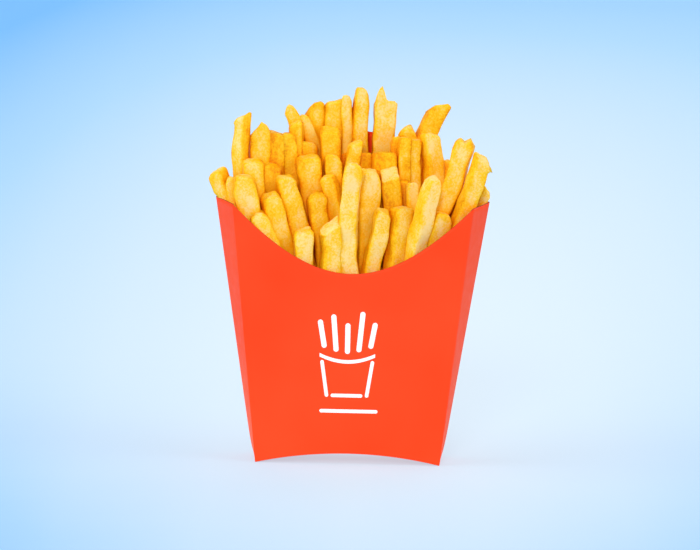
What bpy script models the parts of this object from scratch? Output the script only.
"""French fries standing in a folded board carton.

Blender 4.5 model in metres, +Z up, +X to the right, +Y to the back. The origin is on the table, at
the middle of the carton's footprint. Two solids: the carton, one folded sheet of board, and the
heap of fries, one solid out to its uneven outline. The tables are in millimetres, as a cook or a
box maker would measure, and every length that reaches Blender goes through MM.
"""
import math

import bmesh
import bpy
import numpy as np

MM = 0.001

# The carton: half widths and half depths, from the base up
BASE_HALF_WIDTH = 41.3
BASE_HALF_DEPTH = 15.0
CREASE_TOP = 116.7          # height where the front creases end
CREASE_TOP_HALF_WIDTH = 53.5
CREASE_LEAN = (CREASE_TOP_HALF_WIDTH - BASE_HALF_WIDTH) / CREASE_TOP    # outward, per unit of height
SPREAD_IN_DEPTH = 6.0 / 115.0   # how fast the front and the back lean apart
SIDE_FLARE = 0.055          # how fast a side panel's middle crease leaves the front crease
SIDE_FOOT = 1.37            # the same crease's early bulge, just above the foot
SIDE_FOOT_HEIGHT = 4.0
PANEL_BOW = 3.0             # how far the contents push the front and the back out
BOW_HEIGHT = 115.0          # height where that push is complete
BASE_ARCH = 4.7             # how high the middle of the base stands off the table
FRONT_RIM_LOW = 86.6        # the middle of the front's scooped rim
SIDE_RIM = 117.6            # the tip of each side panel
BACK_RIM_SHOULDER = 119.5
BACK_RIM_TOP = 146.2
BOARD = 0.5
CLEARANCE = 0.3             # between the board and what it holds

# How finely the carton's skin is divided
PANEL_COLUMNS = 16
SIDE_COLUMNS = 2            # on each half of a side panel
WALL_ROWS = 10

# The heap's core, which fills the carton under the fries
CORE_TOP_FRONT = 80.0
CORE_TOP_BACK = 92.0
CORE_SIDE_RISE = 24.0
CORE_ROWS = 5

# Fries
SECTION_CORNERS = ((-0.5, -0.5), (0.5, -0.5), (0.5, 0.5), (-0.5, 0.5))
THICKNESS_SHARE = 0.92      # depth of a fry's section as a share of its side
TIP_LENGTH = 1.6            # a fry narrows over this last stretch
TIP_SHARE = 0.72            # to this share of its section
ROOT_SHARE = 0.6            # and it is this much narrower at its hidden foot
FOOT = 72.0                 # every fry is followed down to here, inside the core
GRIP = 16.0                 # fries press on each other down to this far below their low points,
RIM_GRIP = 5.0              # or to this far below the front rim, whichever is higher
STRAIGHTENING = 12.0        # a leaning fry turns upright within about this length, out of sight
FRONT_FAN = 0.11            # forward lean of the foremost row, against height
BACK_FAN = 0.055            # backward lean of the rearmost row
MIDDLE_HEIGHT = 100.0       # height at which a fry's depth is given
LEVEL_STEP = 7.0
SETTLE_ROUNDS = 240
SETTLE_STEP = 0.25
CLOSENESS = 1.05            # how near two fries come, as a share of their mean width
NO_LIMIT = 1000.0           # the room in depth above the rim

# Each row of the heap from the front to the back: its depth, then its fries. A fry is
# (x low, z low, x tip, z tip, width, turn in degrees, bow, slope of its cut end in degrees).
ROWS = (
    (-17.5, (
        (-37.5, 98.0, -44.5, 113.5, 7.0, 10, 0.0, 0),
        (-30.2, 96.5, -38.0, 120.5, 8.7, 15, 0.0, 0),
        (-21.3, 89.5, -21.6, 106.3, 8.7, 8, 0.0, 12),
        (-8.8, 86.5, -8.9, 109.0, 9.7, 24, 0.0, 27),
        (-0.8, 86.5, 0.6, 136.5, 7.0, -6, -1.4, -10),
        (8.6, 87.0, 13.8, 115.0, 9.0, 14, 0.6, -8),
        (29.0, 94.5, 36.0, 131.2, 9.6, 35, -0.7, 0),
        (37.0, 98.0, 41.0, 114.8, 7.6, 12, 0.0, -8),
        (47.2, 107.0, 58.1, 140.5, 9.0, 20, 0.7, -38),
    )),
    (-13.0, (
        (20.3, 90.5, 21.6, 115.0, 9.5, 30, 0.0, 5),
    )),
    (-9.0, (
        (-46.3, 108.0, -49.3, 128.8, 10.0, 6, -0.8, -8),
        (-23.8, 103.0, -31.0, 128.5, 8.5, 15, 0.0, -10),
        (-13.0, 98.0, -16.6, 121.0, 8.7, 15, 0.0, 0),
        (-7.0, 111.0, -11.8, 128.5, 7.0, -15, 0.0, 0),
        (6.8, 108.0, 7.8, 134.0, 8.8, 18, 0.0, -8),
        (27.0, 113.0, 28.0, 126.5, 7.0, 10, 0.0, 0),
        (41.5, 111.0, 49.0, 146.5, 9.5, -10, 0.6, 0),
    )),
    (0.0, (
        (-53.4, 116.0, -54.6, 127.6, 4.5, 0, 0.0, 0),
        (-54.2, 110.0, -60.6, 129.8, 7.4, -30, 0.0, 18),
        (-44.0, 119.0, -45.4, 134.8, 9.0, 10, 0.0, 0),
        (-37.0, 117.0, -37.0, 132.6, 8.0, 30, 0.0, -8),
        (-18.0, 117.0, -20.6, 136.2, 10.3, 5, 0.0, 0),
        (-9.0, 127.0, -10.0, 137.6, 7.3, 10, 0.0, -12),
        (-1.0, 134.0, 0.6, 143.0, 6.0, 5, 0.0, 30),
        (16.0, 112.0, 16.1, 133.5, 8.5, 4, 0.0, 4),
        (21.7, 111.0, 21.5, 126.5, 8.0, 20, 0.0, 0),
        (22.5, 127.0, 22.5, 145.8, 5.6, 10, 0.0, 0),
        (27.2, 126.0, 27.4, 144.8, 5.2, 5, 0.0, 0),
        (36.0, 130.0, 33.6, 148.0, 9.0, 28, 0.5, -8),
        (41.0, 125.0, 41.0, 135.5, 5.5, 0, 0.0, 0),
        (55.0, 114.0, 59.3, 124.0, 5.5, 20, 0.0, -30),
    )),
    (9.0, (
        (-51.0, 130.0, -50.6, 154.0, 7.4, -40, -0.5, 30),
        (-42.6, 133.0, -42.3, 149.5, 9.0, 15, 0.0, 10),
        (-35.5, 132.0, -35.3, 146.2, 8.3, 30, 0.0, -12),
        (-28.0, 128.0, -29.3, 146.0, 6.0, 0, 0.0, 0),
        (-26.0, 140.0, -26.4, 150.8, 5.5, 0, 0.0, 20),
        (-11.0, 136.0, -10.4, 148.2, 8.7, 5, 0.0, 0),
        (5.5, 125.0, 5.3, 140.0, 6.0, 10, 0.0, 0),
        (13.0, 128.0, 13.0, 138.0, 9.5, 10, 0.0, 0),
        (19.0, 130.0, 19.0, 146.5, 5.0, 10, 0.0, 0),
    )),
    (12.0, (
        (-50.0, 108.0, -52.4, 121.5, 7.0, 15, 0.0, 10),
        (-21.0, 112.0, -21.6, 141.5, 8.0, 20, 0.0, -10),
        (-3.0, 108.0, -3.0, 137.0, 8.0, 30, 0.0, 10),
        (9.5, 108.0, 9.5, 132.0, 8.0, 15, 0.0, 0),
        (31.0, 112.0, 31.2, 138.0, 7.5, 25, 0.0, 8),
        (48.6, 108.0, 51.0, 121.0, 7.5, 15, 0.0, -10),
    )),
    (17.5, (
        (-26.5, 146.0, -29.3, 158.0, 6.2, 5, 0.0, -20),
        (-18.8, 140.0, -24.0, 153.0, 4.6, 0, 0.0, -10),
        (-17.5, 140.0, -16.2, 159.8, 8.4, 25, -1.6, 30),
        (-9.3, 145.0, -9.6, 159.7, 8.4, 10, 0.0, 14),
        (-3.4, 140.0, -4.2, 162.6, 5.0, 10, 0.0, -10),
        (3.0, 140.0, 3.1, 166.7, 6.4, 15, 0.0, -20),
        (12.8, 135.0, 13.7, 163.5, 9.4, 5, 0.0, -25),
        (24.3, 140.0, 24.2, 150.0, 7.0, 20, 0.0, 0),
        (31.0, 143.5, 39.3, 160.0, 8.6, 10, -0.5, 10),
    )),
    (19.0, (
        (-46.0, 112.0, -48.0, 128.0, 8.0, 20, 0.0, 10),
        (-37.0, 112.0, -38.0, 139.0, 8.5, 10, 0.0, -15),
        (28.5, 120.0, 29.0, 143.0, 8.0, 30, 0.0, 10),
        (37.0, 112.0, 38.0, 131.0, 8.5, 15, 0.0, 0),
        (45.0, 108.0, 46.5, 124.0, 8.0, 25, 0.0, -12),
    )),
)


def material(name, colour, roughness):
    """A plain surface of one colour (sRGB values from 0 to 1)."""
    made = bpy.data.materials.new(name)
    made.use_nodes = True
    shader = made.node_tree.nodes["Principled BSDF"]
    linear = [((c + 0.055) / 1.055) ** 2.4 if c > 0.04 else c / 12.92 for c in colour]
    shader.inputs["Base Color"].default_value = (*linear, 1.0)
    shader.inputs["Roughness"].default_value = roughness
    shader.inputs["Metallic"].default_value = 0.0
    return made


def crease_half_width(z):
    """Half the width between the front creases, which is that of the back creases too."""
    return BASE_HALF_WIDTH + CREASE_LEAN * z


def side_bulge(z):
    """How far a side panel's middle crease stands out past the front crease."""
    foot = SIDE_FOOT * (1.0 - math.exp(-max(z, 0.0) / SIDE_FOOT_HEIGHT))
    return foot + SIDE_FLARE * z


def half_depth(z):
    return BASE_HALF_DEPTH + SPREAD_IN_DEPTH * z


def bow(z):
    """How far the middle of the front, or of the back, is pushed out at this height."""
    t = min(max(z / BOW_HEIGHT, 0.0), 1.0)
    return PANEL_BOW * t * t * (3.0 - 2.0 * t)


def base_height(across):
    """Height of the arched base; across goes from -1 at the left crease to 1 at the right."""
    return BASE_ARCH * (1.0 - across * across)


def stations():
    """Round the carton's section, counter-clockwise from above, starting at the front's left.

    Each is (panel, place along it): the front and the back run from -1 to 1 across, and a side
    from -1 at its front crease to 1 at its back crease.
    """
    across = [-1.0 + 2.0 * i / PANEL_COLUMNS for i in range(PANEL_COLUMNS)]
    along = [-1.0 + i / SIDE_COLUMNS for i in range(2 * SIDE_COLUMNS)]
    front = [("front", s) for s in across]
    right = [("right", s) for s in along]
    back = [("back", -s) for s in across]
    left = [("left", -s) for s in along]
    return front + right + back + left


def section_point(panel, s, z, inset):
    """The point of the carton's outline at height z, moved inwards by inset."""
    width = crease_half_width(z) - inset
    depth = half_depth(z) - inset
    if panel == "front":
        return width * s, -depth - bow(z) * (1.0 - s * s)
    if panel == "back":
        return width * s, depth + bow(z) * (1.0 - s * s)
    side = 1.0 if panel == "right" else -1.0
    return side * (width + side_bulge(z) * (1.0 - abs(s))), depth * s


def rim_height(panel, s):
    """The carton's top edge: a scoop in front, a dome at the back, nearly level at the sides."""
    if panel == "front":
        return FRONT_RIM_LOW + (CREASE_TOP - FRONT_RIM_LOW) * s * s
    if panel == "back":
        return BACK_RIM_TOP + (BACK_RIM_SHOULDER - BACK_RIM_TOP) * s * s
    end = CREASE_TOP if s < 0.0 else BACK_RIM_SHOULDER
    return SIDE_RIM + (end - SIDE_RIM) * abs(s)


def cleared_rim_height(panel, s):
    return rim_height(panel, s) + 2.0 * CLEARANCE


def core_height(panel, s):
    """The core's top, under the fries: higher at the sides and towards the back."""
    across = s if panel in ("front", "back") else 1.0
    depth = {"front": -1.0, "back": 1.0}.get(panel, s)
    level = CORE_TOP_FRONT + (CORE_TOP_BACK - CORE_TOP_FRONT) * (depth + 1.0) / 2.0
    return level + CORE_SIDE_RISE * across * across


def foot_height(panel, s, inset):
    across = s if panel in ("front", "back") else 1.0
    return base_height(across) + inset


def skin(inset, top_height, rows, lidded):
    """A bmesh of the carton's walls and base, moved inwards by inset, with a lid if asked."""
    mesh = bmesh.new()
    around = stations()
    rings = []
    for row in range(rows + 1):
        ring = []
        for panel, s in around:
            low = foot_height(panel, s, inset)
            z = low + (top_height(panel, s) - low) * row / rows
            x, y = section_point(panel, s, z, inset)
            ring.append(mesh.verts.new((x * MM, y * MM, z * MM)))
        rings.append(ring)
    count = len(around)
    for lower, upper in zip(rings, rings[1:]):
        for i in range(count):
            j = (i + 1) % count
            mesh.faces.new((lower[i], lower[j], upper[j], upper[i]))
    close_across(mesh, rings[0], facing_up=False)
    if lidded:
        close_across(mesh, rings[-1], facing_up=True)
    bmesh.ops.recalc_face_normals(mesh, faces=mesh.faces)
    return mesh


def close_across(mesh, ring, facing_up):
    """Close a ring with strips that run from the front edge to the back edge."""
    columns = PANEL_COLUMNS
    sides = 2 * SIDE_COLUMNS
    front = ring[:columns + 1]
    right = ring[columns:columns + sides + 1]
    back = ring[columns + sides:2 * columns + sides + 1][::-1]
    left = (ring[2 * columns + sides:] + ring[:1])[::-1]
    grid = [left]
    for i in range(1, columns):
        strip = [front[i]]
        for j in range(1, sides):
            share = j / sides
            strip.append(mesh.verts.new(front[i].co.lerp(back[i].co, share)))
        strip.append(back[i])
        grid.append(strip)
    grid.append(right)
    for first, second in zip(grid, grid[1:]):
        for j in range(sides):
            quad = (first[j], second[j], second[j + 1], first[j + 1])
            mesh.faces.new(quad if facing_up else quad[::-1])


def object_from(mesh, name, finish):
    data = bpy.data.meshes.new(name)
    mesh.to_mesh(data)
    mesh.free()
    made = bpy.data.objects.new(name, data)
    bpy.context.scene.collection.objects.link(made)
    if finish:
        data.materials.append(finish)
    return made


class Fry:
    """One fry: a bent axis in front view, a width, and a depth that is settled later."""

    def __init__(self, depth, numbers):
        self.x_low, self.z_low, self.x_tip, self.z_tip = numbers[:4]
        self.width, self.turn, self.bow, self.cut = numbers[4:]
        self.depth = depth
        self.fan = FRONT_FAN * depth / -ROWS[0][0] if depth < 0.0 else BACK_FAN * depth / ROWS[-1][0]
        across = min(1.0, abs(self.x_low) / crease_half_width(self.z_low))
        self.foot = max(self.z_low - GRIP, rim_height("front", across) - RIM_GRIP)

    def x(self, z):
        """Where the axis is at height z: straight but for its bow, and upright further down."""
        slope = (self.x_tip - self.x_low) / (self.z_tip - self.z_low)
        share = (z - self.z_low) / (self.z_tip - self.z_low)
        if share >= 0.0:
            return self.x_low + slope * (z - self.z_low) + 4.0 * self.bow * share * (1.0 - share)
        slope += 4.0 * self.bow / (self.z_tip - self.z_low)
        slope -= self.x_low * CREASE_LEAN / crease_half_width(self.z_low)
        reach = 1.0 - math.exp((z - self.z_low) / STRAIGHTENING)
        narrowing = crease_half_width(z) / crease_half_width(self.z_low)
        return (self.x_low - slope * STRAIGHTENING * reach) * narrowing

    def y(self, z):
        return self.depth + self.fan * (z - MIDDLE_HEIGHT)


def room_in_depth(x, z):
    """How far forward and back the board is at this place, or no limit above the rim."""
    width = crease_half_width(z)
    across = max(-1.0, min(1.0, x / width))
    wall = half_depth(z) + bow(z) * (1.0 - across * across)
    if abs(x) > width:
        wall = half_depth(z) * max(0.0, 1.0 - (abs(x) - width) / side_bulge(z))
    front_top = rim_height("front", across) if abs(x) <= width else SIDE_RIM
    back_top = rim_height("back", across) if abs(x) <= width else SIDE_RIM
    front = wall if z <= front_top else NO_LIMIT
    back = wall if z <= back_top else NO_LIMIT
    return -front + BOARD + CLEARANCE, back - BOARD - CLEARANCE


def settle(fries):
    """Push the fries apart in depth, a little at a time, until they stand beside each other."""
    levels = np.arange(FOOT, max(f.z_tip for f in fries) + LEVEL_STEP, LEVEL_STEP)
    xs = np.array([[f.x(z) for z in levels] for f in fries])
    there = np.array([[f.foot <= z <= f.z_tip for z in levels] for f in fries])
    fans = np.array([[f.fan * (z - MIDDLE_HEIGHT) for z in levels] for f in fries])
    radius = np.array([f.width / 2.0 for f in fries])
    room = np.array([[room_in_depth(f.x(z), z) for z in levels] for f in fries])
    depth = np.array([f.depth for f in fries])
    both = there[:, None, :] & there[None, :, :]
    reach = CLOSENESS * (radius[:, None] + radius[None, :])
    sideways = xs[:, None, :] - xs[None, :, :]
    needed = np.sqrt(np.maximum(reach[:, :, None] ** 2 - sideways ** 2, 0.0)) * both
    place = np.arange(len(fries))
    order = np.sign(place[:, None] - place[None, :])
    for _ in range(SETTLE_ROUNDS):
        y = depth[:, None] + fans
        apart = (y[:, None, :] - y[None, :, :]) * order[:, :, None]
        lack = np.max(np.where(needed > 0.0, needed - apart, 0.0), axis=2)
        lack = np.maximum(lack, 0.0)
        crowd = np.maximum((lack > 0.01).sum(axis=1), 1)
        depth = depth + SETTLE_STEP * (lack * order).sum(axis=1) / crowd
        y = depth[:, None] + fans
        short_front = np.where(there, room[:, :, 0] + radius[:, None] - y, -1.0).max(axis=1)
        short_back = np.where(there, y - room[:, :, 1] + radius[:, None], -1.0).max(axis=1)
        depth = depth + np.maximum(short_front, 0.0) - np.maximum(short_back, 0.0)
    for fry, settled in zip(fries, depth):
        fry.depth = float(settled)


def fry_ring(mesh, fry, z, share):
    """Four corners of a fry's section at height z; at the tip they follow its sloping cut."""
    turn = math.radians(fry.turn)
    side = share * fry.width / (math.cos(turn) + abs(math.sin(turn)))
    slope = math.tan(math.radians(fry.cut)) * max(0.0, 1.0 - (fry.z_tip - z) / fry.width)
    ring = []
    for u, v in SECTION_CORNERS:
        across = side * (u * math.cos(turn) - v * THICKNESS_SHARE * math.sin(turn))
        deep = side * (u * math.sin(turn) + v * THICKNESS_SHARE * math.cos(turn))
        point = (fry.x(z) + across, fry.y(z) + deep, z + across * slope)
        ring.append(mesh.verts.new([c * MM for c in point]))
    return ring


def add_fry(mesh, fry):
    """Add one fry as a closed four-sided prism that follows its axis down into the core."""
    shoulder = fry.z_tip - TIP_LENGTH
    middle = (fry.z_low + shoulder) / 2.0
    hidden = [(FOOT, ROOT_SHARE), ((FOOT + fry.z_low) / 2.0, 1.0)]
    shown = [(fry.z_low, 1.0), (middle, 1.0), (shoulder, 1.0), (fry.z_tip, TIP_SHARE)]
    rings = [fry_ring(mesh, fry, z, share) for z, share in hidden + shown]
    for lower, upper in zip(rings, rings[1:]):
        for i in range(len(SECTION_CORNERS)):
            j = (i + 1) % len(SECTION_CORNERS)
            mesh.faces.new((lower[i], lower[j], upper[j], upper[i]))
    mesh.faces.new(rings[0][::-1])
    mesh.faces.new(rings[-1])


def boolean(target, operation, other):
    modifier = target.modifiers.new(operation.lower(), "BOOLEAN")
    modifier.operation = operation
    modifier.object = other
    modifier.solver = "EXACT"
    modifier.use_self = operation == "UNION"
    other.hide_render = True
    other.display_type = "WIRE"


def solidified(skin_object, thickness, offset):
    modifier = skin_object.modifiers.new("board", "SOLIDIFY")
    modifier.thickness = thickness * MM
    modifier.offset = offset
    modifier.use_even_offset = True


def build_carton():
    finish = material("red board", (0.99, 0.31, 0.17), 0.45)
    carton = object_from(skin(0.0, rim_height, WALL_ROWS, lidded=False), "carton", finish)
    solidified(carton, BOARD, -1.0)
    return carton


def build_fries():
    fries = [Fry(depth, numbers) for depth, row in ROWS for numbers in row]
    settle(fries)
    core_inset = BOARD + 2.0 * CLEARANCE
    core = skin(core_inset, core_height, CORE_ROWS, lidded=True)
    heap = object_from(core, "fries", material("fried potato", (0.97, 0.76, 0.25), 0.5))
    sticks = bmesh.new()
    for fry in fries:
        add_fry(sticks, fry)
    boolean(heap, "UNION", object_from(sticks, "guide_sticks", None))
    cleared = skin(-CLEARANCE, cleared_rim_height, WALL_ROWS, lidded=False)
    walls = object_from(cleared, "guide_walls", None)
    solidified(walls, BOARD + 2.0 * CLEARANCE, -1.0)
    boolean(heap, "DIFFERENCE", walls)
    return heap


def main():
    for old in list(bpy.data.objects):
        bpy.data.objects.remove(old)
    build_carton()
    build_fries()


main()
